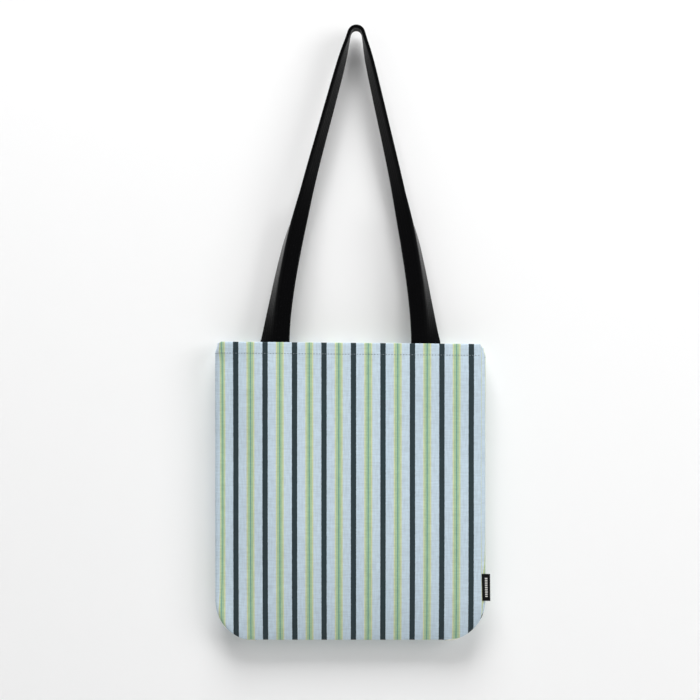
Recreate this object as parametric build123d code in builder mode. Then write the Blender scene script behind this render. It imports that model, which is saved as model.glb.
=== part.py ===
from build123d import *
import os
from math import acos, asin, atan2, cos, degrees, pi, radians, sin, sqrt

# Canvas tote bag hanging from a peg by its two webbing handles. Millimetres. The origin is on top
# of the peg, where the handles rest; +Z is up, +X to the right and the printed front faces -Y.

# Peg, which is not part of the bag
PEG_RADIUS = 6.0

# Bag body as it hangs: two 330 mm square panels, lightly filled out
BAG_X = -6.6                  # the bag hangs a little to the left of the peg
HANDLE_DROP = 349.0
BODY_HEIGHT = 330.0
HALF_WIDTH = 149.2
BELLY_HALF_DEPTH = 22.0
MOUTH_HALF_DEPTH = 19.0
CORNER_SHARE = 0.7            # corner radius of a level section over its half depth
OUTLINE_CORNER = 45.0         # radius of the two bottom corners, seen from the front
BOTTOM_ROLL = 95.0            # height over which the front and back roll under to the bottom seam
BOTTOM_FLAT = 2.0             # the form is cut off this far above where front and back would meet
CLOTH = 1.0
HEM_DEPTH = 15.0
HEM_TOP = -HANDLE_DROP
FORM_HEIGHT = BODY_HEIGHT + BOTTOM_FLAT
BOTTOM = HEM_TOP - FORM_HEIGHT

# Side and bottom seams: one flat loop, turned so that the right-hand seam lies towards the front
SEAM_FORWARD = 15.0
SEAM_TURN = degrees(asin(SEAM_FORWARD / HALF_WIDTH))
ALLOWANCE = 10.0
THREAD = 0.5
THREAD_PROUD = 0.3
OVERLOCK_WIDTH = 0.9
FIT_GAP = 0.05

# Hem stitching
STITCH_PITCH = 3.2
STITCH_LENGTH = 2.5
STITCH_BELOW_HEM = 12.6
STITCH_HEIGHT = 0.6

# Handles: 1 1/4 inch webbing that leaves the hem flat and folds in half lengthwise towards the peg
WEBBING_WIDTH = 31.8
WEBBING = 1.6
FOLD_GAP = 0.6                # air between the two folded layers
LEG_SPREAD = 84.0             # bag centre to the middle of each leg at the hem
LEG_UPRIGHT = 70.0            # height of the point that each leg's lower curve bends round
LEG_STRAIGHT_FROM = -135.0    # above this height a leg runs straight to the peg
CREST_Y = 8.5                 # middle of each crest along the peg
# Degrees of turn or fold gained, and the heights above the hem between which they are gained
LEG_TWIST = (55, 30, 230)
PEG_TWIST = (35, 270, 345)
FOLD_START = (80, -20, 110)
FOLD_CLOSE = (100, 85, 185)
END_LENGTH = 28.0             # webbing sewn inside the hem
END_CLEAR = 0.1
FLEX_GAP = 1.5                # where the webbing bends over the hem

# Side label, folded woven tape in the right-hand seam
LABEL_OUT = 7.9
LABEL_HEIGHT = 30.0
LABEL_THICK = 1.0
LABEL_Z = -619.5
LABEL_CLEAR = 0.5
SEAM_CROWN = 0.8              # the label bends this far outside the seam
LABEL_FORWARD = 10.0          # degrees that the label leans to the front at rest

SECTION_HEIGHTS = (BOTTOM_FLAT, 6, 13, 24, 40, 62, 95, 150, 210, 270, 315, FORM_HEIGHT)
INNER_FLOOR = 1.2             # rise of the inner form's lowest section

WEB_Y = MOUTH_HALF_DEPTH - 2 * CLOTH - END_CLEAR - WEBBING / 2
ARCH_RADIUS = PEG_RADIUS + WEBBING / 2

os.makedirs("parts", exist_ok=True)


def save(part, name):
    part.label = name
    export_step(part, f"parts/{name}.step")


def ramp(value, low, high):
    """Smooth rise from 0 at low to 1 at high."""
    share = min(1.0, max(0.0, (value - low) / (high - low)))
    return share * share * (3 - 2 * share)


# Form of the body

def half_width(height):
    """Half width of the bag at a height above the form's bottom."""
    if height >= OUTLINE_CORNER:
        return HALF_WIDTH
    rise = OUTLINE_CORNER - height
    return HALF_WIDTH - OUTLINE_CORNER + sqrt(OUTLINE_CORNER ** 2 - rise ** 2)


def half_depth(height):
    """Half depth of the bag at a height above the form's bottom."""
    if height < BOTTOM_ROLL:
        return BELLY_HALF_DEPTH * sqrt(1 - ((BOTTOM_ROLL - height) / BOTTOM_ROLL) ** 2)
    slimmer = BELLY_HALF_DEPTH - MOUTH_HALF_DEPTH
    return BELLY_HALF_DEPTH - slimmer * ramp(height, BOTTOM_ROLL, FORM_HEIGHT)


def body_form(inset):
    """Closed form of the body, drawn in by inset, with its lowest section raised to suit."""
    floor = INNER_FLOOR if inset else 0
    with BuildPart() as form:
        for height in SECTION_HEIGHTS:
            depth = half_depth(height) - inset
            with BuildSketch(Plane((BAG_X, 0, BOTTOM + height + floor))):
                RectangleRounded(2 * (half_width(height) - inset), 2 * depth, CORNER_SHARE * depth)
        loft()
    return form.part


outer_form = body_form(0)
inner_form = body_form(CLOTH)
hem_form = body_form(2 * CLOTH)
seam_plane = Plane((BAG_X, 0, 0), x_dir=Vector(1, 0, 0).rotate(Axis.Z, -SEAM_TURN),
                   z_dir=Vector(0, -1, 0).rotate(Axis.Z, -SEAM_TURN))


def seam_band(start, end, low, high, top):
    """Band round the left, bottom and right seams in the seam plane, from start to end inside the
    outline and from low to high across the plane, open at the mouth."""
    with BuildPart() as band:
        with BuildSketch(seam_plane.offset(low)):
            for inset, mode in ((start, Mode.ADD), (end, Mode.SUBTRACT)):
                width = 2 * (HALF_WIDTH - inset)
                with BuildSketch(mode=Mode.PRIVATE) as outline:
                    with Locations((0, (BOTTOM + inset + top) / 2)):
                        Rectangle(width, top - BOTTOM - inset)
                    fillet(outline.vertices().group_by(Axis.Y)[0], OUTLINE_CORNER - inset)
                add(outline.sketch, mode=mode)
        extrude(amount=high - low)
    return band.part


# Front and back panels: outer wall, turned-in hem and seam allowance

with BuildPart() as allowances:
    add(seam_band(CLOTH / 2, ALLOWANCE + CLOTH, -CLOTH, CLOTH, HEM_TOP - HEM_DEPTH))
    add(outer_form, mode=Mode.INTERSECT)

with BuildPart() as hem:
    with BuildSketch(Plane((BAG_X, 0, HEM_TOP - HEM_DEPTH))):
        Rectangle(2 * HALF_WIDTH, 2 * BELLY_HALF_DEPTH)
    extrude(amount=HEM_DEPTH)
    add(outer_form, mode=Mode.INTERSECT)
    add(hem_form, mode=Mode.SUBTRACT)

with BuildPart() as cloth:
    add(outer_form)
    add(inner_form, mode=Mode.SUBTRACT)
    add(hem.part)
    add(allowances.part)

for panel, side in (("front_panel", Keep.TOP), ("back_panel", Keep.BOTTOM)):
    with BuildPart() as half:
        add(cloth.part)
        split(bisect_by=seam_plane, keep=side)
    save(half.part, panel)

# Thread lines and overlocked edges of the three seams

STRETCHES = {"left": (-HALF_WIDTH, -HALF_WIDTH + OUTLINE_CORNER),
             "bottom": (-HALF_WIDTH + OUTLINE_CORNER, HALF_WIDTH - OUTLINE_CORNER),
             "right": (HALF_WIDTH - OUTLINE_CORNER, HALF_WIDTH)}
SEAM_TOP = HEM_TOP - HEM_DEPTH - 1
LINE_START = 4 * CLOTH
EDGE_START = ALLOWANCE + CLOTH + FIT_GAP


def stretch_of(loop, stretch):
    """The part of a seam loop between two distances along the seam plane's X."""
    low, high = STRETCHES[stretch]
    with BuildPart() as piece:
        add(loop)
        with BuildSketch(seam_plane.offset(-2 * ALLOWANCE)):
            with Locations(((low + high) / 2, (BOTTOM + HEM_TOP) / 2)):
                Rectangle(high - low - FIT_GAP, FORM_HEIGHT)
        extrude(amount=4 * ALLOWANCE, mode=Mode.INTERSECT)
    return piece.part


line_insets = (LINE_START, LINE_START + THREAD)
near_line = seam_band(*line_insets, CLOTH + FIT_GAP, CLOTH + FIT_GAP + THREAD_PROUD, SEAM_TOP)
far_line = seam_band(*line_insets, -CLOTH - FIT_GAP - THREAD_PROUD, -CLOTH - FIT_GAP, SEAM_TOP)
edge_loop = seam_band(EDGE_START, EDGE_START + OVERLOCK_WIDTH, -CLOTH - THREAD_PROUD,
                      CLOTH + THREAD_PROUD, SEAM_TOP)
for stretch in STRETCHES:
    with BuildPart() as seam_thread:
        add(stretch_of(near_line, stretch))
        add(stretch_of(far_line, stretch))
        add(inner_form, mode=Mode.INTERSECT)
    save(seam_thread.part, f"{stretch}_seam_stitching")
    with BuildPart() as overlock:
        add(stretch_of(edge_loop, stretch))
        add(inner_form, mode=Mode.INTERSECT)
    save(overlock.part, f"{stretch}_seam_overlock")

# Hem stitching: one row of short stitches on each outer face

stitch_z = HEM_TOP - STITCH_BELOW_HEM
stitch_depth = half_depth(FORM_HEIGHT - STITCH_BELOW_HEM)
stitch_run = HALF_WIDTH - CORNER_SHARE * stitch_depth
stitch_count = int(2 * stitch_run / STITCH_PITCH)
for face, way in (("front", -1), ("back", 1)):
    with BuildPart() as hem_stitching:
        with BuildSketch(Plane.XZ.offset(-way * (stitch_depth + FIT_GAP))):
            with Locations((BAG_X, stitch_z)):
                with GridLocations(STITCH_PITCH, STITCH_PITCH, stitch_count, 1):
                    Rectangle(STITCH_LENGTH, STITCH_HEIGHT)
        extrude(amount=-way * THREAD_PROUD)
    save(hem_stitching.part, f"{face}_hem_stitching")

# Handles

LOWER_STEPS = 11
UPPER_STEPS = 6
ARCH_STEPS = 12


def gained(height, change):
    """Radians of a turn or fold that the webbing has gained at a height above the hem."""
    amount, low, high = change
    return radians(amount) * ramp(height, low, high)


def leg_stations(side):
    """Points (x, z) and upward directions of one leg from the hem to the peg, and the angle at
    which its straight run meets the arch over the peg."""
    base = Vector(BAG_X + side * (LEG_SPREAD - WEBBING_WIDTH / 4), HEM_TOP + FLEX_GAP)
    control = Vector(base.X, HEM_TOP + LEG_UPRIGHT)
    reach = control + Vector(0, PEG_RADIUS)
    angle = atan2(reach.Y, reach.X) + side * acos(ARCH_RADIUS / reach.length)
    meet = Vector(ARCH_RADIUS * cos(angle), ARCH_RADIUS * sin(angle) - PEG_RADIUS)
    share = (LEG_STRAIGHT_FROM - control.Y) / (meet.Y - control.Y)
    bend_end = control + (meet - control) * share
    stations = []
    for step in range(LOWER_STEPS):
        t = step / LOWER_STEPS
        point = base * (1 - t) ** 2 + control * (2 * t * (1 - t)) + bend_end * t ** 2
        slope = (control - base) * (1 - t) + (bend_end - control) * t
        stations.append((point, slope.normalized()))
    for step in range(UPPER_STEPS + 1):
        point = bend_end + (meet - bend_end) * (step / UPPER_STEPS)
        stations.append((point, (meet - control).normalized()))
    return stations, angle


def handle_sections(way):
    """Section planes and outlines of a whole handle, from its left leg over the peg to its right
    leg. way is -1 for the front handle and 1 for the back one."""
    left, left_angle = leg_stations(-1)
    right, right_angle = leg_stations(1)
    turn = (left_angle - right_angle) % (2 * pi)
    run = [(point, up, up.rotate(Axis.Z, -90)) for point, up in left]
    for step in range(1, ARCH_STEPS):
        angle = left_angle - turn * step / ARCH_STEPS
        out = Vector(cos(angle), sin(angle))
        run.append((out * ARCH_RADIUS - Vector(0, PEG_RADIUS), out.rotate(Axis.Z, -90), -out))
    run += [(point, -up, up.rotate(Axis.Z, 90)) for point, up in reversed(right)]
    planes = []
    for point, along, inward in run:
        height = point.Y - HEM_TOP
        twist = gained(height, LEG_TWIST) + gained(height, PEG_TWIST)
        fold = gained(height, FOLD_START) + gained(height, FOLD_CLOSE)
        y = WEB_Y + (CREST_Y - WEB_Y) * min(1, height / HANDLE_DROP)
        across = Vector(inward.X, 0, inward.Y) * cos(twist) - Vector(0, way, 0) * sin(twist)
        plane = Plane((point.X, way * y, point.Y), x_dir=across, z_dir=(along.X, 0, along.Y))
        planes.append((plane, fold))
    return planes


def webbing_outline(fold, way):
    """Closed outline of the webbing across its width, folded back by fold along its middle."""
    bend = FOLD_GAP + WEBBING
    flat = (WEBBING_WIDTH - bend) / 2
    middle = [Vector(flat / 2, 0), Vector(-flat / 2, 0)]
    middle.append(middle[1] + Vector(-cos(fold / 2), sin(fold / 2)) * bend)
    middle.append(middle[2] + Vector(-cos(fold), sin(fold)) * flat)
    sides = ([], [])
    for index, point in enumerate(middle):
        before = middle[index] - middle[index - 1] if index else middle[1] - middle[0]
        after = middle[index + 1] - middle[index] if index < 3 else before
        bisector = (before.normalized() + after.normalized()).normalized()
        mitre = WEBBING / 2 / bisector.dot(before.normalized())
        normal = bisector.rotate(Axis.Z, 90) * mitre
        sides[0].append(point + normal)
        sides[1].append(point - normal)
    points = sides[0] + sides[1][::-1]
    return [Vector(point.X, -way * point.Y) for point in points]


for name, way in (("front_handle", -1), ("back_handle", 1)):
    with BuildPart() as handle:
        for plane, fold in handle_sections(way):
            with BuildSketch(plane):
                with BuildLine():
                    Polyline(*webbing_outline(fold, way), close=True)
                make_face()
        loft(ruled=True)
    save(handle.part, name)

# Sewn ends of the webbing inside the hem, and the stitching that holds them

BOX_STITCH_WIDTH = 22.0
BOX_STITCH_HEIGHT = 20.0
for face, way in (("front", -1), ("back", 1)):
    end_middle = HEM_TOP - END_LENGTH / 2
    for place, side in (("left", -1), ("right", 1)):
        with BuildPart() as sewn_end:
            with BuildSketch(Plane.XZ.offset(-way * (WEB_Y - WEBBING / 2))):
                with Locations((BAG_X + side * LEG_SPREAD, end_middle)):
                    Rectangle(WEBBING_WIDTH, END_LENGTH)
            extrude(amount=-way * WEBBING)
        save(sewn_end.part, f"{face}_handle_{place}_end")
    with BuildPart() as end_stitching:
        with BuildSketch(Plane.XZ.offset(-way * (WEB_Y - WEBBING / 2 - FIT_GAP - THREAD_PROUD))):
            with Locations((BAG_X - LEG_SPREAD, end_middle), (BAG_X + LEG_SPREAD, end_middle)):
                Rectangle(BOX_STITCH_WIDTH, BOX_STITCH_HEIGHT)
                Rectangle(BOX_STITCH_WIDTH - 2 * THREAD, BOX_STITCH_HEIGHT - 2 * THREAD,
                          mode=Mode.SUBTRACT)
        extrude(amount=-way * THREAD_PROUD)
    save(end_stitching.part, f"{face}_handle_end_stitching")

# Side label

label_depth = half_depth(LABEL_Z - BOTTOM)
label_corner = CORNER_SHARE * label_depth
seam_y = -SEAM_FORWARD
pivot_x = BAG_X + SEAM_CROWN + HALF_WIDTH - label_corner + sqrt(
    label_corner ** 2 - (SEAM_FORWARD - label_depth + label_corner) ** 2)
label_plane = Plane((pivot_x, seam_y, LABEL_Z - LABEL_HEIGHT / 2),
                    x_dir=Vector(1, 0, 0).rotate(Axis.Z, -LABEL_FORWARD), z_dir=(0, 0, 1))
with BuildPart() as label:
    with BuildSketch(label_plane):
        with Locations((LABEL_CLEAR + LABEL_OUT / 2, 0)):
            RectangleRounded(LABEL_OUT, LABEL_THICK, LABEL_THICK / 2 - FIT_GAP)
    extrude(amount=LABEL_HEIGHT)
save(label.part, "side_label")

print("label pivot", round(pivot_x, 2), round(seam_y, 2), "web y", WEB_Y, "arch", ARCH_RADIUS)
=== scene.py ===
from bisect import bisect_left
from math import acos, atan2, cos, exp, pi, radians, sin, sqrt

import bmesh
import bpy
from mathutils import Matrix, Vector, noise


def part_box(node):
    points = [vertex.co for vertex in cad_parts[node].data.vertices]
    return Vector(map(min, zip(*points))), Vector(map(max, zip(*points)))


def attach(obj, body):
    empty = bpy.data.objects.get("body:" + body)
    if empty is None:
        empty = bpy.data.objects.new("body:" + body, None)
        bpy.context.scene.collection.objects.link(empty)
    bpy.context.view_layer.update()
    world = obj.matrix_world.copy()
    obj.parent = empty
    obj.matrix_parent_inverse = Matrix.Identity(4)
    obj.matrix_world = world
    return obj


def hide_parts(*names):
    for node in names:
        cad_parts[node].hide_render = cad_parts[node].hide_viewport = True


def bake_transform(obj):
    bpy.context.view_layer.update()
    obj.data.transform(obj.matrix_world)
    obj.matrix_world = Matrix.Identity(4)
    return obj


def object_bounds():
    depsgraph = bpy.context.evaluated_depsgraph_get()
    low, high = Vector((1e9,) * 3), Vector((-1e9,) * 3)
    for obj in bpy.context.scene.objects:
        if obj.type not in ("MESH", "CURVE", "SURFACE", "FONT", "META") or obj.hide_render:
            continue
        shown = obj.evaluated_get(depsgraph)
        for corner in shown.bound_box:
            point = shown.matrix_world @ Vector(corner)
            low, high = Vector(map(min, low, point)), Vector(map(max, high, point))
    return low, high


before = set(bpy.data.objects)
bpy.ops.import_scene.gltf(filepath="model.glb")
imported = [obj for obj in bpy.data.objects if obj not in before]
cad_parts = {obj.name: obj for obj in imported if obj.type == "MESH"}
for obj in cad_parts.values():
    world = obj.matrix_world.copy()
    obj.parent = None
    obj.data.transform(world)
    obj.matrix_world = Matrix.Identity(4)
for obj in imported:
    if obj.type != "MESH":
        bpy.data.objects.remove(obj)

cad_low, cad_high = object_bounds()

# ---- Studio ---------------------------------------------------------------------------------
# A pale painted wall stands close behind the bag, which hangs from a peg, and a pale floor lies
# well below it. A large soft light stands in front and above. None of it is the object.

MM = 0.001


def node(tree, kind, settings=None, links=None):
    """Adds a node, sets its properties and its inputs' own values, and links its inputs."""
    made = tree.nodes.new("ShaderNode" + kind)
    for name, value in (settings or {}).items():
        if isinstance(name, str) and hasattr(made, name):
            setattr(made, name, value)
        else:
            made.inputs[name].default_value = value
    for name, source in (links or {}).items():
        socket = source.outputs[0] if hasattr(source, "outputs") else source
        tree.links.new(socket, made.inputs[name])
    return made


def linear(code):
    """An sRGB hex colour as the linear values that a shader takes."""
    parts = [int(code[at:at + 2], 16) / 255 for at in (0, 2, 4)]
    return [p / 12.92 if p <= 0.04045 else ((p + 0.055) / 1.055) ** 2.4 for p in parts] + [1.0]


def new_material(name):
    """An empty node material and its node tree."""
    made = bpy.data.materials.new(name)
    made.use_nodes = True
    made.node_tree.nodes.clear()
    return made, made.node_tree


# Emulsion paint, rolled on plaster: flat and matt. The wall is clear from behind and to the light
# from there, so that the back of the bag can be looked at.
wall_paint, tree = new_material("rolled_emulsion_paint_wall")
paint = node(tree, "BsdfDiffuse", {"Color": linear("F6F6F6")})
clear = node(tree, "BsdfTransparent")
seen_side = node(tree, "NewGeometry")
ray = node(tree, "LightPath")
see_through = node(tree, "Math", {"operation": "MAXIMUM"},
                   {0: seen_side.outputs["Backfacing"], 1: ray.outputs["Is Shadow Ray"]})
mixed = node(tree, "MixShader", {}, {0: see_through, 1: paint, 2: clear})
node(tree, "OutputMaterial", {}, {"Surface": mixed})
floor_paint, tree = new_material("rolled_emulsion_paint_floor")
paint = node(tree, "BsdfDiffuse", {"Color": linear("C9C9C9")})
node(tree, "OutputMaterial", {}, {"Surface": paint})

WALL_Y = cad_high.y + 5 * MM
FLOOR_Z = -1.8
STUDIO_HALF = 4.0
for name, material, turn, place in (
        ("studio_wall", wall_paint, Matrix.Rotation(pi / 2, 4, "X"), (0, WALL_Y, 0)),
        ("studio_floor", floor_paint, Matrix.Identity(4), (0, 0, FLOOR_Z))):
    bm = bmesh.new()
    bmesh.ops.create_grid(bm, x_segments=1, y_segments=1, size=STUDIO_HALF, matrix=turn)
    bmesh.ops.translate(bm, verts=bm.verts, vec=place)
    mesh = bpy.data.meshes.new(name)
    bm.to_mesh(mesh)
    bm.free()
    mesh.materials.append(material)
    plane = bpy.data.objects.new(name, mesh)
    bpy.context.scene.collection.objects.link(plane)

# Name, place, watts, size: the key and fill light the front, the others the back
LIGHTS = (
    ("key_light", (-0.05, -1.9, 2.6), 127, 2.2),
    ("fill_light", (2.3, -2.2, 0.4), 30, 1.8),
    ("back_key_light", (-0.9, 2.2, 2.0), 72, 1.9),
    ("back_fill_light", (1.7, 2.5, -0.2), 10, 2.0),
)
MIDDLE = Vector((-7 * MM, 0, -357 * MM))
for name, place, watts, size in LIGHTS:
    data = bpy.data.lights.new(name, "AREA")
    data.energy, data.size = watts, size
    lamp = bpy.data.objects.new(name, data)
    lamp.location = place
    lamp.rotation_euler = (MIDDLE - Vector(place)).to_track_quat("-Z", "Y").to_euler()
    lamp.visible_camera = False
    bpy.context.scene.collection.objects.link(lamp)
world = bpy.data.worlds.new("studio_air")
world.use_nodes = True
world.node_tree.nodes["Background"].inputs["Color"].default_value = linear("FFFFFF")
world.node_tree.nodes["Background"].inputs["Strength"].default_value = 0.25
bpy.context.scene.world = world
bpy.context.scene.view_settings.view_transform = "Standard"

# The camera looks straight at the front, level with the middle of the whole bag
CAMERA_AWAY = 2.6
VIEW_WIDTH = 773.5 * MM
camera_data = bpy.data.cameras.new("camera")
camera_data.lens = camera_data.sensor_width * (CAMERA_AWAY + cad_low.y) / VIEW_WIDTH
camera = bpy.data.objects.new("camera", camera_data)
camera.location = MIDDLE - Vector((0, CAMERA_AWAY, 0))
camera.rotation_euler = (pi / 2, 0, 0)
bpy.context.scene.collection.objects.link(camera)
bpy.context.scene.camera = camera

# ---- Canvas panels --------------------------------------------------------------------------
# Two panels of plain-woven cotton canvas, printed on the outside with stripes that run from top
# to bottom. They are sewn together on the left, at the bottom and on the right, turned right side
# out, and hemmed round the mouth. The bag hangs lightly filled out, and rolls under at the bottom.

front_low, front_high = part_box("front_panel")
back_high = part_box("back_panel")[1]
BAG_X = (front_low.x + back_high.x) / 2
HALF_WIDTH = (back_high.x - front_low.x) / 2 + 0.6 * MM
HEM_TOP = front_high.z
SEAM_BOTTOM = front_low.z - 2 * MM    # the filled bag sags this much
BELLY = -front_low.y
CANVAS = 0.9 * MM
OUTLINE_CORNER = 45 * MM        # radius of the bottom corners, seen from the front
BOTTOM_ROLL = 150 * MM          # height over which the bag rolls under
CORNER_SHARE = 0.5              # corner radius of a level section over its half depth
MOUTH_SLIMMER = 1.6 * MM        # the mouth's half depth is this much under the belly's
MOUTH_BOW, BELLY_BOW = 0.1, 0.4    # share of the depth lost from the middle to each side
SEAM_ANGLE = radians(38)        # how far round the front right corner the right seam lies
SEAM_DIP, SEAM_SPREAD = 0.9 * MM, 1.4 * MM
HEM_DEPTH = 15 * MM
FOLD_RADIUS = 1.15 * MM
ALLOWANCE = 10 * MM
HEM_TILT = 0.0094               # the hem falls this much to the right
CORNER_DROOP = {"left": 1.2 * MM, "right": 4 * MM}    # how far the hem's corners sink
CORNER_DRAW = {"left": 2.6 * MM, "right": 2 * MM}     # and how far they draw in
HEM_ROW = 12.6 * MM             # the stitches' distance below the fold
BODY_HEIGHT = HEM_TOP - FOLD_RADIUS - SEAM_BOTTOM


def ramp(value, low, high):
    """Smooth rise from 0 at low to 1 at high."""
    share = min(1.0, max(0.0, (value - low) / (high - low)))
    return share * share * (3 - 2 * share)


def half_width(height):
    """Half width of the bag at a height above the bottom seam."""
    rise = max(0.0, OUTLINE_CORNER - height)
    return HALF_WIDTH - OUTLINE_CORNER + sqrt(OUTLINE_CORNER ** 2 - rise ** 2)


def half_depth(height):
    """Half depth of the bag at a height above the bottom seam."""
    rise = max(0.0, BOTTOM_ROLL - height)
    return (BELLY * (1 - (rise / BOTTOM_ROLL) ** 2) ** 0.75
            - MOUTH_SLIMMER * ramp(height, BOTTOM_ROLL, BODY_HEIGHT))


# How far up the cloth each height lies, since the cloth rolls under
PROFILE_STEPS = 600
profile_up, profile_height = [0.0], [0.0]
for step in range(1, PROFILE_STEPS + 1):
    height = BODY_HEIGHT * (step / PROFILE_STEPS) ** 2
    spread = half_depth(height) - half_depth(profile_height[-1])
    profile_up.append(profile_up[-1] + sqrt((height - profile_height[-1]) ** 2 + spread ** 2))
    profile_height.append(height)
BODY_CLOTH = profile_up[-1]


def height_at(up):
    """Height above the bottom seam of a point that lies a distance up the cloth."""
    at = min(max(bisect_left(profile_up, up), 1), PROFILE_STEPS)
    share = (up - profile_up[at - 1]) / (profile_up[at] - profile_up[at - 1])
    return profile_height[at - 1] + share * (profile_height[at] - profile_height[at - 1])


def seam_runs(height):
    """Distance round from a panel's centre line to its left-hand and right-hand seam."""
    depth = half_depth(height)
    angle = pi / 2 + (SEAM_ANGLE - pi / 2) * ramp(height, 14 * MM, 46 * MM)
    corner = CORNER_SHARE * depth
    flat = half_width(height) - corner
    quarter, side = corner * pi / 2, 2 * (depth - corner)
    return flat + quarter + side + corner * (pi / 2 - angle), flat + corner * angle


def section(run, height):
    """Point and outward direction on a level section, a rounded rectangle, at a distance run to
    the right of the front centre."""
    depth = half_depth(height)
    corner = CORNER_SHARE * depth
    flat, square = half_width(height) - corner, depth - corner
    quarter = corner * pi / 2
    way, run = (1, run) if run >= 0 else (-1, -run)
    if run <= flat:
        return Vector((way * run, -depth)), Vector((0, -1))
    run -= flat
    if run <= quarter:
        out = Vector((way * sin(run / corner), -cos(run / corner)))
        return Vector((way * flat, -square)) + out * corner, out
    run -= quarter
    if run <= 2 * square:
        return Vector((way * (flat + corner), run - square)), Vector((way, 0))
    angle = (run - 2 * square) / corner if corner else 0
    out = Vector((way * cos(angle), sin(angle)))
    return Vector((way * flat, square)) + out * corner, out


# Soft folds, ridges where the last number is above 0: where each starts and ends, across from
# the middle and down from the hem, its width, and how far it stands out, in millimetres
SOFT_FOLDS = {
    "front": ((-140, -20, -138, 330, 34, -4.5), (-98, 0, -90, 200, 26, 1.6),
              (-46, 20, -40, 210, 24, -1.4), (18, 0, 8, 200, 28, 1.0), (94, 50, 44, 215, 22, -1.8),
              (122, 10, 118, 220, 24, 0.9), (84, 0, 60, 90, 16, 0.7)),
    "back": ((-80, 0, -60, 180, 24, 1.3), (-20, 20, 10, 230, 30, -1.5), (84, 0, 96, 170, 24, 1.4),
             (40, 30, 52, 160, 22, -0.9), (-120, 60, -100, 230, 24, -1.0)),
}
FOLD_FADE = 45 * MM


def relief(face, x, drop):
    """How far the cloth stands out at a place across from the middle and down from the hem."""
    out = 0.35 * MM * noise.noise(Vector((x / 0.03, drop / 0.055, 3.0 if face == "front" else 9.0)))
    for x0, z0, x1, z1, width, rise in SOFT_FOLDS[face]:
        start, end, here = (Vector(p) * MM for p in ((x0, z0), (x1, z1), (x / MM, drop / MM)))
        run = end - start
        along = (here - start).dot(run) / run.length
        across = (here - start).cross(run) / run.length / (width * MM)
        fade = ramp(along, -FOLD_FADE, FOLD_FADE) * (1 - ramp(along, run.length - FOLD_FADE,
                                                              run.length + FOLD_FADE))
        out += rise * MM * exp(-across ** 2) * fade
    pucker = noise.noise(Vector((x / 0.007, drop / 0.03, 5.0 if face == "front" else 7.0)))
    return out + 0.45 * MM * pucker * exp(-((drop - HEM_ROW) / 0.009) ** 2)


def body_point(face, run, up):
    """Point of a panel's outer face, and its outward direction seen from above. run is the
    distance round from the panel's centre line, and up that up the cloth from the bottom seam."""
    height = height_at(min(up, BODY_CLOTH))
    left, right = seam_runs(height)
    flat, out = section(run, height)
    turn = 1 if face == "front" else -1
    x = turn * flat.x
    drop = BODY_HEIGHT - height
    away = max(0.0, min(left + run, right - run))
    settle = ramp(height, 0, 60 * MM) * ramp(away, 0, 30 * MM) * (0.25 + 0.75 * ramp(drop, 0, 25 * MM))
    full = ramp(drop, 30 * MM, 130 * MM) * ramp(height, 10 * MM, 90 * MM)
    bow = MOUTH_BOW + (BELLY_BOW - MOUTH_BOW) * full
    flat.y *= 1 - bow * (x / HALF_WIDTH) ** 2
    seam_dip = SEAM_DIP * exp(-(away / SEAM_SPREAD) ** 2)
    flat += out * (relief(face, x, drop) * settle * abs(out.y) - seam_dip)
    # The stiff double hem rounds over and draws in where it meets the side seams
    to_side = ramp(abs(x), HALF_WIDTH - 7 * MM, HALF_WIDTH)
    hand = "right" if x > 0 else "left"
    droop = CORNER_DROOP[hand] * to_side * ramp(height, BODY_HEIGHT - 24 * MM, BODY_HEIGHT)
    draw = CORNER_DRAW[hand] * to_side * ramp(height, BODY_HEIGHT - 11 * MM, BODY_HEIGHT)
    flat.x -= draw if flat.x > 0 else -draw
    z = SEAM_BOTTOM + height - droop + SEAM_DIP * exp(-(up / SEAM_SPREAD) ** 2)
    z -= HEM_TILT * x * ramp(height, 0, BODY_HEIGHT)
    return (Vector((BAG_X + turn * flat.x, turn * flat.y, z)), Vector((turn * out.x, turn * out.y, 0)))


def cloth_point(face, run, up):
    """As body_point, and on past the fold of the hem to the layer turned in."""
    past = max(0.0, up - BODY_CLOTH)
    turned_in = max(0.0, past - pi * FOLD_RADIUS)
    point, out = body_point(face, run, min(up, BODY_CLOTH - turned_in))
    angle = min(pi, past / FOLD_RADIUS)
    return point + Vector((0, 0, FOLD_RADIUS * sin(angle))) - out * FOLD_RADIUS * (1 - cos(angle))


def inward(face, x, height):
    """Direction from the seam into the bag, for the allowances."""
    if height >= OUTLINE_CORNER:
        return Vector((-1 if x > BAG_X else 1, 0, 0))
    centre = HALF_WIDTH - OUTLINE_CORNER
    reach = min(centre, max(-centre, x - BAG_X))
    return Vector((BAG_X + reach - x, 0, OUTLINE_CORNER - height)).normalized()


def crowd(share):
    """Draws evenly spaced shares from -1 to 1 together near both ends."""
    return 1.1 * share - 0.1 * share ** 9


COLUMNS, BODY_ROWS, TURN_ROWS, HEM_ROWS = 140, 144, 6, 6
ALLOWANCE_STEPS = (0.05, 0.2, 0.5, 1.0)


def cloth_up(row):
    """Distance up the cloth of a row of the panel's grid."""
    if row <= BODY_ROWS:
        return BODY_CLOTH * (1 - crowd(1 - row / BODY_ROWS))
    if row <= BODY_ROWS + TURN_ROWS:
        return BODY_CLOTH + pi * FOLD_RADIUS * (row - BODY_ROWS) / TURN_ROWS
    return BODY_CLOTH + pi * FOLD_RADIUS + HEM_DEPTH * (row - BODY_ROWS - TURN_ROWS) / HEM_ROWS


def as_piece(bm, name, *materials):
    """Makes a bmesh an object with those materials, shaded smooth."""
    mesh = bpy.data.meshes.new(name)
    bm.to_mesh(mesh)
    bm.free()
    mesh.shade_smooth()
    for material in materials:
        mesh.materials.append(material)
    piece = bpy.data.objects.new(name, mesh)
    bpy.context.scene.collection.objects.link(piece)
    return piece


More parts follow.
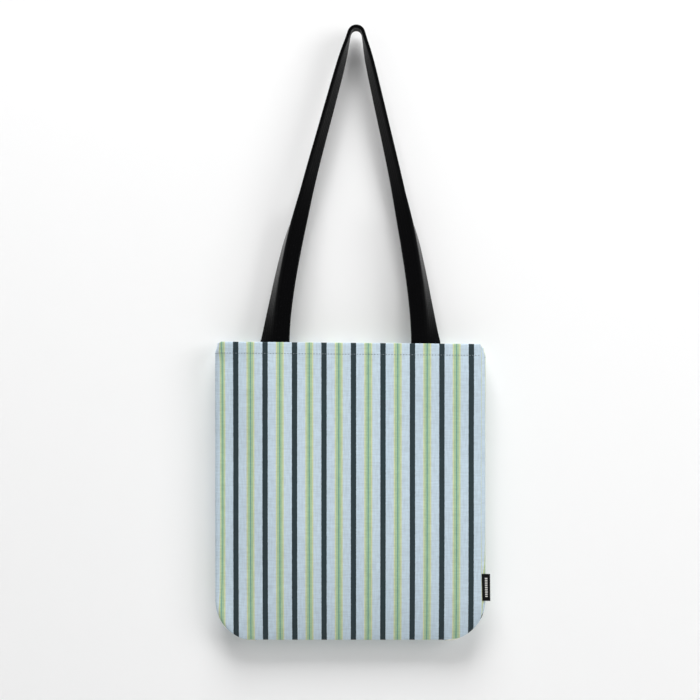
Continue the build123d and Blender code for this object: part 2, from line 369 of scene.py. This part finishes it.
# Cotton canvas, plain woven of slubby yarn and printed by pigment inkjet: dead matt, with crisp
# stripes that the thread edges roughen a little. Inside it is unbleached, and the dark stripes
# strike faintly through. The real yarns lie 0.6 mm apart, too fine to show, so they are drawn
# 1.5 mm apart.
YARN = 1.5 * MM
STRIPE_REPEAT = 32.61 * MM
NAVY_FROM_MIDDLE = 3.4 * MM
GROUND, NAVY, TEAL, GREEN, YELLOW = "C1D2DE", "26353A", "729F93", "A6C29C", "CBD0A4"
UNBLEACHED = "E9E4D6"
# Where each colour of the repeat begins, in millimetres from the middle of the green stripe
STRIPES = ((0, TEAL), (0.72, GREEN), (2.93, YELLOW), (4.36, GROUND), (13.35, NAVY), (19.26, GROUND),
           (28.25, YELLOW), (29.68, GREEN), (31.89, TEAL))


def canvas(name, strike, roughness):
    """Canvas whose stripes show by a share strike over the unbleached cloth."""
    made, tree = new_material(name)
    cloth = node(tree, "Attribute", {"attribute_name": "cloth"})
    wander = node(tree, "TexNoise", {"Scale": 1 / (2 * YARN), "Detail": 1.0},
                  {"Vector": cloth.outputs["Vector"]})
    places = node(tree, "SeparateXYZ", {}, {0: cloth.outputs["Vector"]})
    edge = node(tree, "Math", {"operation": "MULTIPLY_ADD", 1: 0.5 * MM},
                {0: wander.outputs["Fac"], 2: places.outputs["X"]})
    cycle = node(tree, "Math", {"operation": "MULTIPLY_ADD", 1: 1 / STRIPE_REPEAT,
                                2: 40.5 - (NAVY_FROM_MIDDLE + 0.25 * MM) / STRIPE_REPEAT}, {0: edge})
    phase = node(tree, "Math", {"operation": "FRACT"}, {0: cycle})
    stripes = node(tree, "ValToRGB", {}, {0: phase})
    band = stripes.color_ramp
    band.interpolation = "CONSTANT"
    for begins, colour in STRIPES[1:]:
        band.elements.new(begins * MM / STRIPE_REPEAT).color = linear(colour)
    band.elements[0].color = linear(STRIPES[0][1])
    band.elements[-1].position = 1.0
    band.elements[-1].color = linear(TEAL)
    print_on = node(tree, "MixRGB", {0: strike, 1: linear(UNBLEACHED)}, {2: stripes})
    # Warp and weft: each yarn is a rounded ridge that dives under its neighbours in turn
    warp = node(tree, "TexWave", {"bands_direction": "X", "Scale": pi / 10 / YARN, "Distortion": 1.2,
                                  "Detail": 1.0, "Detail Scale": 2.0}, {"Vector": cloth.outputs["Vector"]})
    weft = node(tree, "TexWave", {"bands_direction": "Y", "Scale": pi / 10 / YARN, "Distortion": 1.2,
                                  "Detail": 1.0, "Detail Scale": 2.0}, {"Vector": cloth.outputs["Vector"]})
    weave = node(tree, "Math", {"operation": "MAXIMUM"}, {0: warp.outputs["Fac"], 1: weft.outputs["Fac"]})
    slub_places = node(tree, "Mapping", {"Scale": (1 / (1.2 * YARN), 1 / (9 * YARN), 1)},
                       {0: cloth.outputs["Vector"]})
    slubs = node(tree, "TexNoise", {"Scale": 1.0, "Detail": 2.0}, {"Vector": slub_places})
    across_places = node(tree, "Mapping", {"Scale": (1 / (9 * YARN), 1 / (1.2 * YARN), 1)},
                         {0: cloth.outputs["Vector"]})
    across = node(tree, "TexNoise", {"Scale": 1.0, "Detail": 2.0}, {"Vector": across_places})
    grain = node(tree, "Math", {"operation": "ADD"}, {0: slubs.outputs["Fac"], 1: across.outputs["Fac"]})
    shade = node(tree, "MapRange", {1: 0.75, 2: 1.25, 3: 0.90, 4: 1.07}, {0: grain})
    # Painted shade and light in the weave: the colour is darker in the hollows between the yarns and a
    # little lighter on their tops.
    painted_weave_shade = node(tree, "MapRange", {1: 0.3, 2: 1.0, 3: 0.94, 4: 1.02}, {0: weave})
    tone = node(tree, "Math", {"operation": "MULTIPLY"}, {0: shade, 1: painted_weave_shade})
    colour = node(tree, "VectorMath", {"operation": "SCALE"}, {0: print_on, "Scale": tone})
    relief_sum = node(tree, "Math", {"operation": "ADD"}, {0: weave, 1: grain})
    bump = node(tree, "Bump", {"Strength": 0.55, "Distance": 0.12 * MM}, {"Height": relief_sum})
    shader = node(tree, "BsdfPrincipled",
                  {"Roughness": roughness, "Specular IOR Level": 0.2, "Sheen Weight": 0.12,
                   "Sheen Roughness": 0.6}, {"Base Color": colour, "Normal": bump})
    node(tree, "OutputMaterial", {}, {"Surface": shader})
    return made


printed_canvas = canvas("pigment_printed_plain_woven_cotton_canvas", 1.0, 0.88)
unprinted_canvas = canvas("unbleached_plain_woven_cotton_canvas", 0.10, 0.92)
for face in ("front", "back"):
    turn = 1 if face == "front" else -1
    bm = bmesh.new()
    rows = BODY_ROWS + TURN_ROWS + HEM_ROWS
    bmesh.ops.create_grid(bm, x_segments=COLUMNS, y_segments=rows, size=0.5)
    layer = bm.verts.layers.float_vector.new("cloth")
    for vert in bm.verts:
        up = cloth_up(round((vert.co.y + 0.5) * rows))
        left, right = seam_runs(height_at(min(up, BODY_CLOTH)))
        run = (crowd(2 * vert.co.x) * (left + right) + right - left) / 2
        vert[layer] = (run, up, 0)
        vert.co = cloth_point(face, run, up)
    # The seam allowances: the cloth turns in all round the sides and the bottom
    edges = [e for e in bm.edges if e.is_boundary and all(v[layer].y <= BODY_CLOTH + MM for v in e.verts)]
    for edge in edges:
        edge.smooth = False
    started = 0.0
    for share in ALLOWANCE_STEPS:
        made = bmesh.ops.extrude_edge_only(bm, edges=edges)["geom"]
        edges = [g for g in made if isinstance(g, bmesh.types.BMEdge) and g.is_boundary]
        for vert in {v for e in edges for v in e.verts}:
            up = vert[layer].y
            height = height_at(min(max(up, 0), BODY_CLOTH))
            hem_begins = BODY_HEIGHT - HEM_DEPTH
            wide = ALLOWANCE * (1 - 0.96 * ramp(height, hem_begins - 8 * MM, hem_begins))
            towards = inward(face, vert.co.x, height)
            vert.co += towards * wide * (share - started)
            vert.co.y = vert.co.y * (1 - 0.3 * (share - started)) - (turn * 0.06 * MM if not started else 0)
        started = share
    piece = as_piece(bm, face + "_canvas", printed_canvas, unprinted_canvas)
    thick = piece.modifiers.new("cloth_thickness", "SOLIDIFY")
    thick.thickness, thick.offset = CANVAS, -1
    thick.material_offset = thick.material_offset_rim = 1
    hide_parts(face + "_panel")
    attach(piece, "bag")
    left, right = seam_runs(BODY_HEIGHT)

# ---- Hem stitching --------------------------------------------------------------------------
# One row of lockstitch in spun polyester thread runs round the mouth and holds the turned-in hem.
# It shows as short stitches on the outside and again on the hem's inner layer.

THREAD = 0.6 * MM
STITCH_PITCH = 3.2 * MM
STITCH_LENGTH = 2.0 * MM


def thread_material(name, colour, roughness):
    """Twisted thread: soft highlights broken by the slanting plies, drawn 0.8 mm apart."""
    made, tree = new_material(name)
    places = node(tree, "TexCoord")
    plies = node(tree, "TexWave", {"bands_direction": "DIAGONAL", "Scale": pi / 10 / (0.8 * MM),
                                   "Distortion": 1.0}, {"Vector": places.outputs["Object"]})
    fuzz = node(tree, "TexNoise", {"Scale": 900.0, "Detail": 2.0}, {"Vector": places.outputs["Object"]})
    shade = node(tree, "MapRange", {3: 0.8, 4: 1.15}, {0: fuzz.outputs["Fac"]})
    tint = node(tree, "VectorMath", {"operation": "SCALE", 0: linear(colour)[:3]}, {"Scale": shade})
    bump = node(tree, "Bump", {"Strength": 0.5, "Distance": 0.1 * MM}, {"Height": plies.outputs["Fac"]})
    shader = node(tree, "BsdfPrincipled", {"Roughness": roughness, "Sheen Weight": 0.15},
                  {"Base Color": tint, "Normal": bump})
    node(tree, "OutputMaterial", {}, {"Surface": shader})
    return made


single = bmesh.new()
bmesh.ops.create_uvsphere(single, u_segments=8, v_segments=6, radius=1)
bead = bpy.data.meshes.new("thread_bead")
single.to_mesh(bead)
single.free()


def stitch(bm, start, end, out):
    """Adds one stitch, a rounded run of thread from start to end on a face that looks out."""
    along = (end - start).normalized()
    side = out.cross(along).normalized()
    turn = Matrix((along, side, along.cross(side))).transposed().to_4x4()
    size = Matrix.Diagonal(((end - start).length / 2 + THREAD / 4, THREAD / 2, THREAD / 2, 1))
    place = Matrix.Translation((start + end) / 2) @ turn @ size
    bead.transform(place)
    bm.from_mesh(bead)
    bead.transform(place.inverted())


grey_thread = thread_material("spun_polyester_thread_grey", "77838B", 0.7)
for face in ("front", "back"):
    bm = bmesh.new()
    left, right = seam_runs(BODY_HEIGHT)
    count = int((left + right - 4 * MM) / STITCH_PITCH)
    hem_layers = ((BODY_CLOTH - HEM_ROW + FOLD_RADIUS, 1),
                  (BODY_CLOTH + pi * FOLD_RADIUS + HEM_ROW - FOLD_RADIUS, -1))
    for up, way in hem_layers:
        for index in range(count):
            middle = (index + 0.5 - count / 2) * STITCH_PITCH + (right - left) / 2
            ends = []
            for run in (middle - STITCH_LENGTH / 2, middle + STITCH_LENGTH / 2):
                point = cloth_point(face, run, up)
                out = body_point(face, run, up)[1] * way
                ends.append(point + out * 0.05 * MM)
            stitch(bm, ends[0], ends[1], out)
    piece = as_piece(bm, face + "_hem_thread", grey_thread)
    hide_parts(face + "_hem_stitching")
    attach(piece, "bag")

# ---- Webbing handles ------------------------------------------------------------------------
# Two lengths of black woven webbing. Each end lies flat inside the hem, sewn to it. Going up, the
# outer half curls behind the inner half until the webbing is folded in two and turned edge on,
# which is how it bears on the peg.

end_low, end_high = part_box("front_handle_left_end")
right_end_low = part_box("front_handle_right_end")[0]
WEBBING_WIDTH = end_high.x - end_low.x
WEBBING = end_high.y - end_low.y
WEB_Y = -(end_low.y + end_high.y) / 2
LEG_X = (right_end_low.x - end_low.x) / 2
END_BOTTOM = end_low.z
PEG_RADIUS = 6 * MM
LEG_UPRIGHT = 70 * MM           # height of the point that each leg's lower curve bends round
LEG_STRAIGHT_FROM = -135 * MM   # above this height a leg runs straight to the peg
CREST_Y = 8.5 * MM
STAND_OFF = 5.5 * MM            # the curled lower legs keep this much further apart
FOLD_BEND = 3.6 * MM            # cloth taken up by the fold where it is tightest

# Height above the hem in millimetres, degrees that the outer half has curled, millimetres of
# cloth over which it curls, and degrees that the webbing has turned
WEBBING_SHAPE = ((-40, 0, 8, 0), (-6, 0, 8, 0), (0, 8, 8, 0), (5, 24, 8, 0), (12, 37, 8, 1),
                 (25, 50, 7, 2), (46, 63, 6, 3), (70, 73, 6, 5), (90, 81, 5, 8), (112, 92, 5, 13),
                 (134, 112, 4.5, 20), (150, 150, 4, 27), (165, 178, 3.6, 35), (185, 180, 3.6, 42),
                 (223, 180, 3.6, 50), (267, 180, 3.6, 56), (315, 180, 3.6, 66), (347, 180, 3.6, 90),
                 (400, 180, 3.6, 90))


def webbing_shape(height):
    """Curl, cloth in the curl and turn of the webbing at a height above the hem, joined smoothly."""
    at = 1
    while at < len(WEBBING_SHAPE) - 3 and WEBBING_SHAPE[at + 1][0] * MM < height:
        at += 1
    before, start, end, after = (Vector(WEBBING_SHAPE[k]) for k in range(at - 1, at + 3))
    share = min(1.0, max(0.0, (height / MM - start[0]) / (end[0] - start[0])))
    slope_in = (end - before) / (end[0] - before[0])
    slope_out = (after - start) / (after[0] - start[0])
    span = end[0] - start[0]
    value = (start * (1 + 2 * share) * (1 - share) ** 2
             + slope_in * span * share * (1 - share) ** 2
             + end * share ** 2 * (3 - 2 * share)
             + slope_out * span * share ** 2 * (share - 1))
    return radians(min(180, max(0, value[1]))), max(FOLD_BEND, value[2] * MM), radians(value[3])


def handle_route():
    """Places (x, z) along a handle from its left end to its right end, with the direction it goes
    and the direction towards the middle of the bag."""
    arch = PEG_RADIUS + WEBBING / 2
    legs, angles = [], []
    for side in (-1, 1):
        base = Vector((BAG_X + side * (LEG_X - WEBBING_WIDTH / 4), HEM_TOP))
        control = Vector((base.x, HEM_TOP + LEG_UPRIGHT))
        reach = control + Vector((0, PEG_RADIUS))
        angle = atan2(reach.y, reach.x) + side * acos(arch / reach.length)
        meet = Vector((arch * cos(angle), arch * sin(angle) - PEG_RADIUS))
        bend_end = control + (meet - control) * (LEG_STRAIGHT_FROM - control.y) / (meet.y - control.y)
        leg = [(Vector((base.x, END_BOTTOM + (HEM_TOP - END_BOTTOM) * k / 8)), Vector((0, 1)))
               for k in range(8)]
        for k in range(60):
            t = k / 60
            point = base * (1 - t) ** 2 + control * 2 * t * (1 - t) + bend_end * t ** 2
            leg.append((point, ((control - base) * (1 - t) + (bend_end - control) * t).normalized()))
        for k in range(31):
            leg.append((bend_end + (meet - bend_end) * k / 30, (meet - control).normalized()))
        legs.append(leg)
        angles.append(angle)
    route = [(point, up, Vector((up.y, -up.x))) for point, up in legs[0]]
    turn = (angles[0] - angles[1]) % (2 * pi)
    for k in range(1, 24):
        angle = angles[0] - turn * k / 24
        out = Vector((cos(angle), sin(angle)))
        route.append((out * arch - Vector((0, PEG_RADIUS)), Vector((out.y, -out.x)), -out))
    return route + [(point, -up, Vector((-up.y, up.x))) for point, up in reversed(legs[1])]


# Woven polypropylene webbing: near black, with fine ribs across it and a firm edge, and a dull
# sheen where it turns away. The ribs lie 1 mm apart and are drawn 1.8 mm apart.
RIB = 1.8 * MM
webbing_black, tree = new_material("woven_polypropylene_webbing_black")
tape = node(tree, "Attribute", {"attribute_name": "tape"})
ribs = node(tree, "TexWave", {"bands_direction": "Y", "Scale": pi / 10 / RIB, "Distortion": 0.6},
            {"Vector": tape.outputs["Vector"]})
cords = node(tree, "TexWave", {"bands_direction": "X", "Scale": pi / 10 / (1.6 * RIB),
                               "Distortion": 0.4}, {"Vector": tape.outputs["Vector"]})
fuzz = node(tree, "TexNoise", {"Scale": 700.0, "Detail": 2.0}, {"Vector": tape.outputs["Vector"]})
weave = node(tree, "Math", {"operation": "MULTIPLY"}, {0: ribs.outputs["Fac"], 1: cords.outputs["Fac"]})
# Painted light and shade: the colour is lighter where the ribs and cords rise and darker in the hollows
# between them.
tone = node(tree, "MapRange", {3: 0.7, 4: 1.9}, {0: weave})
speck = node(tree, "MapRange", {3: 0.75, 4: 1.25}, {0: fuzz.outputs["Fac"]})
both = node(tree, "Math", {"operation": "MULTIPLY"}, {0: tone, 1: speck})
colour = node(tree, "VectorMath", {"operation": "SCALE", 0: linear("020203")[:3]}, {"Scale": both})
bump = node(tree, "Bump", {"Strength": 0.7, "Distance": 0.25 * MM}, {"Height": weave})
shader = node(tree, "BsdfPrincipled", {"Roughness": 0.62, "Specular IOR Level": 0.02,
                                       "Sheen Weight": 0.3, "Sheen Roughness": 0.4},
              {"Base Color": colour, "Normal": bump})
node(tree, "OutputMaterial", {}, {"Surface": shader})

WEBBING_COLUMNS = 26
for face, way in (("front", -1), ("back", 1)):
    route = handle_route()
    bm = bmesh.new()
    bmesh.ops.create_grid(bm, x_segments=WEBBING_COLUMNS, y_segments=len(route) - 1, size=0.5)
    layer = bm.verts.layers.float_vector.new("tape")
    lengths = [0.0]
    for index in range(1, len(route)):
        lengths.append(lengths[-1] + (route[index][0] - route[index - 1][0]).length)
    for vert in bm.verts:
        row = round((vert.co.y + 0.5) * (len(route) - 1))
        taken = (vert.co.x + 0.5) * WEBBING_WIDTH
        point, along, towards = route[row]
        height = point.y - HEM_TOP
        curl, bend, turned = webbing_shape(height)
        flat = (WEBBING_WIDTH - bend) / 2
        in_bend = min(bend, max(0.0, taken - flat))
        angle = curl * in_bend / bend
        rest = max(0.0, taken - flat - bend)
        if curl > 0.01:
            reach = Vector((sin(angle), 1 - cos(angle))) * bend / curl
        else:
            reach = Vector((in_bend, 0))
        reach += Vector((cos(curl), sin(curl))) * rest + Vector((min(taken, flat), 0))
        apart = STAND_OFF * ramp(height, 0, 70 * MM) * (1 - ramp(height, 90 * MM, 230 * MM))
        to_crest = min(1.0, max(0.0, height / -HEM_TOP))
        y = way * (WEB_Y + (CREST_Y - WEB_Y) * to_crest + apart)
        across = Vector((towards.x, 0, towards.y)) * cos(turned) - Vector((0, way, 0)) * sin(turned)
        forward = Vector((along.x, 0, along.y))
        behind = forward.cross(across) * -way
        offset = WEBBING_WIDTH / 4 - reach.x
        vert[layer] = (taken - WEBBING_WIDTH / 2, lengths[row], 0)
        vert.co = Vector((point.x, y, point.y)) + across * offset + behind * reach.y
    piece = as_piece(bm, face + "_webbing", webbing_black)
    thick = piece.modifiers.new("webbing_thickness", "SOLIDIFY")
    thick.thickness, thick.offset = WEBBING, 0
    soften = piece.modifiers.new("webbing_edge", "BEVEL")
    soften.width, soften.segments = 0.4 * MM, 2
    soften.limit_method, soften.angle_limit = "ANGLE", radians(60)
    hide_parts(face + "_handle", face + "_handle_left_end", face + "_handle_right_end")
    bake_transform(piece)

# ---- Box stitching --------------------------------------------------------------------------
# Black thread sews each webbing end to the hem in a box with a cross in it. It shows only on the
# webbing, inside the bag.

BOX_WIDTH, BOX_HEIGHT = 22 * MM, 20 * MM
black_thread = thread_material("spun_polyester_thread_black", "1B1C1F", 0.6)
for face, way in (("front", -1), ("back", 1)):
    bm = bmesh.new()
    for side in (-1, 1):
        middle = Vector((BAG_X + side * LEG_X, way * (WEB_Y - WEBBING / 2 - 0.1 * MM),
                         (END_BOTTOM + HEM_TOP) / 2))
        corners = [middle + Vector((x * BOX_WIDTH / 2, 0, z * BOX_HEIGHT / 2)) for x, z in
                   ((-1, -1), (1, -1), (1, 1), (-1, 1), (-1, -1), (1, 1), (1, -1), (-1, 1))]
        for start, end in zip(corners, corners[1:]):
            count = round((end - start).length / STITCH_PITCH)
            for index in range(count):
                stitch(bm, start.lerp(end, (index + 0.12) / count),
                       start.lerp(end, (index + 0.88) / count), Vector((0, -way, 0)))
    piece = as_piece(bm, face + "_box_thread", black_thread)
    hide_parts(face + "_handle_end_stitching")
    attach(piece, "bag")

# ---- Seams inside ---------------------------------------------------------------------------
# The panels are joined by lockstitch close to the fold, and the raw edges of the two allowances
# are overlocked together with loops of soft white thread. Both show only inside the bag.

white_thread = thread_material("textured_polyester_overlock_thread_white", "E6E5E0", 0.8)
OVERLOCK_PITCH, OVERLOCK_WIDTH = 2.6 * MM, 4.5 * MM
LINE_IN = 4 * MM


def spaced(start, end, pitch):
    """Places from start to end, about one pitch apart."""
    count = round((end - start) / pitch)
    return [start + (end - start) * k / count for k in range(count + 1)]


def seam_places(stretch, pitch):
    """Points along the left, bottom or right seam, each with the direction into the bag."""
    if stretch == "bottom":
        reach = HALF_WIDTH - OUTLINE_CORNER
        runs = [(run, 0.0) for run in spaced(-reach, reach, pitch)]
    else:
        runs = [(None, up) for up in spaced(0.5 * MM, BODY_CLOTH - HEM_DEPTH - 9 * MM, pitch)]
    places = []
    for run, up in runs:
        height = height_at(up)
        left, right = seam_runs(height)
        run = run if run is not None else (-left if stretch == "left" else right)
        point = body_point("front", run, up)[0]
        places.append((point, inward("front", point.x, height)))
    return places


for stretch in ("left", "bottom", "right"):
    bm = bmesh.new()
    places = seam_places(stretch, STITCH_PITCH)
    for (point, towards), (after, _) in zip(places, places[1:]):
        for way in (-1, 1):
            off = towards * LINE_IN + Vector((0, way * (CANVAS + 0.1 * MM), 0))
            stitch(bm, point.lerp(after, 0.14) + off, point.lerp(after, 0.86) + off, Vector((0, way, 0)))
    piece = as_piece(bm, stretch + "_seam_thread", grey_thread)
    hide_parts(stretch + "_seam_stitching")
    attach(piece, "bag")
    bm = bmesh.new()
    places = seam_places(stretch, OVERLOCK_PITCH)
    for (point, towards), (after, _) in zip(places, places[1:]):
        inner, edge = towards * (ALLOWANCE - OVERLOCK_WIDTH), towards * (ALLOWANCE + 0.2 * MM)
        for way in (-1, 1):
            off = Vector((0, way * (CANVAS + 0.15 * MM), 0))
            flat_edge = Vector((point.x + edge.x, point.y * 0.7, point.z + edge.z))
            flat_inner = Vector((point.x + inner.x, point.y * 0.82, point.z + inner.z))
            flat_after = Vector((after.x + edge.x, after.y * 0.7, after.z + edge.z))
            stitch(bm, flat_inner + off, flat_edge + off, Vector((0, way, 0)))
            stitch(bm, flat_inner + off, flat_after + off, Vector((0, way, 0)))
        stitch(bm, flat_edge, flat_after, towards)
    piece = as_piece(bm, stretch + "_overlock_thread", white_thread)
    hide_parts(stretch + "_seam_overlock")
    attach(piece, "bag")

# ---- Side label -----------------------------------------------------------------------------
# A folded tab of damask-woven polyester tape, black with a plain woven mark of pale dashes. Its
# two ends are caught in the right-hand seam near the bottom.

label_low, label_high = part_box("side_label")
LABEL_MIDDLE = (label_low.z + label_high.z) / 2 - 1 * MM
LABEL_TAPE = 0.4 * MM
label_height = label_high.z - label_low.z


def seam_place(z):
    """Point of the right-hand seam at a height z."""
    height = z - SEAM_BOTTOM
    return body_point("front", seam_runs(height)[1], profile_up[bisect_left(profile_height, height)])[0]


label_root = seam_place(LABEL_MIDDLE)
LABEL_OUT = label_high.x - label_root.x
LABEL_LEAN = radians(12)        # towards the front

# Damask label: smooth satin ground of fine filament yarn, so it has a low shine, and a raised
# pale figure. The mark is a column of plain dashes.
label_weave, tree = new_material("damask_woven_polyester_label")
tape = node(tree, "Attribute", {"attribute_name": "tape"})
places = node(tree, "SeparateXYZ", {}, {0: tape.outputs["Vector"]})
off_middle = node(tree, "Math", {"operation": "ABSOLUTE"}, {0: places.outputs["X"]})
in_column = node(tree, "Math", {"operation": "COMPARE", 1: LABEL_OUT / 2, 2: 1.4 * MM}, {0: off_middle})
dash_cycle = node(tree, "Math", {"operation": "PINGPONG", 1: 1.0 * MM}, {0: places.outputs["Y"]})
in_dash = node(tree, "Math", {"operation": "LESS_THAN", 1: 0.55 * MM}, {0: dash_cycle})
from_middle = node(tree, "Math", {"operation": "ABSOLUTE"}, {0: places.outputs["Y"]})
in_mark = node(tree, "Math", {"operation": "LESS_THAN", 1: 10.6 * MM}, {0: from_middle})
figure = node(tree, "Math", {"operation": "MULTIPLY"}, {0: in_column, 1: in_dash})
mark = node(tree, "Math", {"operation": "MULTIPLY"}, {0: figure, 1: in_mark})
picks = node(tree, "TexWave", {"bands_direction": "Y", "Scale": pi / 10 / (0.7 * MM),
                               "Distortion": 0.3}, {"Vector": tape.outputs["Vector"]})
colour = node(tree, "MixRGB", {1: linear("060607"), 2: linear("DCDCD8")}, {0: mark})
raised = node(tree, "Math", {"operation": "ADD"}, {0: picks.outputs["Fac"], 1: mark})
bump = node(tree, "Bump", {"Strength": 0.4, "Distance": 0.1 * MM}, {"Height": raised})
shader = node(tree, "BsdfPrincipled", {"Roughness": 0.5, "Specular IOR Level": 0.15},
              {"Base Color": colour, "Normal": bump})
node(tree, "OutputMaterial", {}, {"Surface": shader})

bm = bmesh.new()
bmesh.ops.create_grid(bm, x_segments=32, y_segments=16, size=0.5)
layer = bm.verts.layers.float_vector.new("tape")
loop = 0.45 * MM
leg = LABEL_OUT + 3 * MM - loop
for vert in bm.verts:
    taken = vert.co.x * (2 * leg + pi * loop)
    up = vert.co.y * label_height
    bent = max(-pi / 2, min(pi / 2, taken / loop))
    reach = leg + loop * cos(bent) - 3 * MM
    if abs(bent) == pi / 2:
        reach -= abs(taken) - loop * pi / 2
    lean = LABEL_LEAN + radians(9) * ramp(reach, 0, LABEL_OUT) * (up / label_height + 0.3)
    side = Vector((-sin(lean), -cos(lean), 0)) * -loop * sin(bent)
    vert[layer] = (taken, up, 0)
    root = seam_place(LABEL_MIDDLE + up).lerp(label_root, ramp(reach, 0, LABEL_OUT))
    vert.co = Vector((root.x, root.y, LABEL_MIDDLE + up)) + Vector((cos(lean), -sin(lean), 0)) * reach + side
piece = as_piece(bm, "side_label_tape", label_weave)
thick = piece.modifiers.new("tape_thickness", "SOLIDIFY")
thick.thickness, thick.offset = LABEL_TAPE, 0
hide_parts("side_label")
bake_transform(piece)
